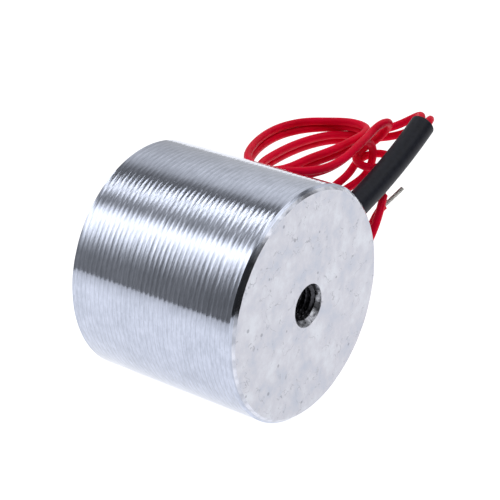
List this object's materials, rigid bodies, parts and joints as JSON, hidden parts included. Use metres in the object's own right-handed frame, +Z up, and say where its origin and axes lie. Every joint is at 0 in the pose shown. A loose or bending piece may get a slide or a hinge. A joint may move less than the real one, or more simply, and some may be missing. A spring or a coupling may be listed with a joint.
{
  "type": "holding electromagnet",
  "caption": "Round flat-faced holding electromagnet: plated steel pot with a tapped mounting hole, a potted coil, and sleeved flying leads tied in a hank.",
  "frame": {"origin": "centre of the mounting face, on the axis of the tapped hole, with the magnet lying on its side", "axes": "+X out of the tapped hole along the magnet's axis, +Y towards the side where the leads come out, +Z up from the surface it lies on"},
  "size_m": [0.025, 0.0529, 0.03],
  "materials": {
    "plated_steel": "bright zinc plate over turned steel, feed marks showing",
    "bobbin_nylon": "moulded nylon",
    "enamelled_copper": "enamelled copper wire, wound in layers",
    "coil_tape": "polyester tape",
    "potting_resin": "cast epoxy, faced with the pole",
    "solder": "tin solder",
    "shrink_sleeve": "shrunk polyolefin tube",
    "lead_insulation": "extruded PVC",
    "tinned_copper": "tinned copper strands"
  },
  "bodies": {
    "root": {"pot_body": "plated_steel", "coil_bobbin": "bobbin_nylon", "coil_winding": "enamelled_copper", "coil_tape": "coil_tape", "potting_resin": "potting_resin", "lead_joint_a": "solder", "lead_joint_b": "solder", "lead_sleeve": "shrink_sleeve", "lead_inner_a": "lead_insulation", "lead_inner_b": "lead_insulation", "lead_run_a": "lead_insulation", "lead_run_b": "lead_insulation", "lead_hank": "lead_insulation", "lead_tail_a": "lead_insulation", "lead_tail_b": "lead_insulation", "lead_tip_a": "tinned_copper", "lead_tip_b": "tinned_copper"}
  },
  "joints": []
}
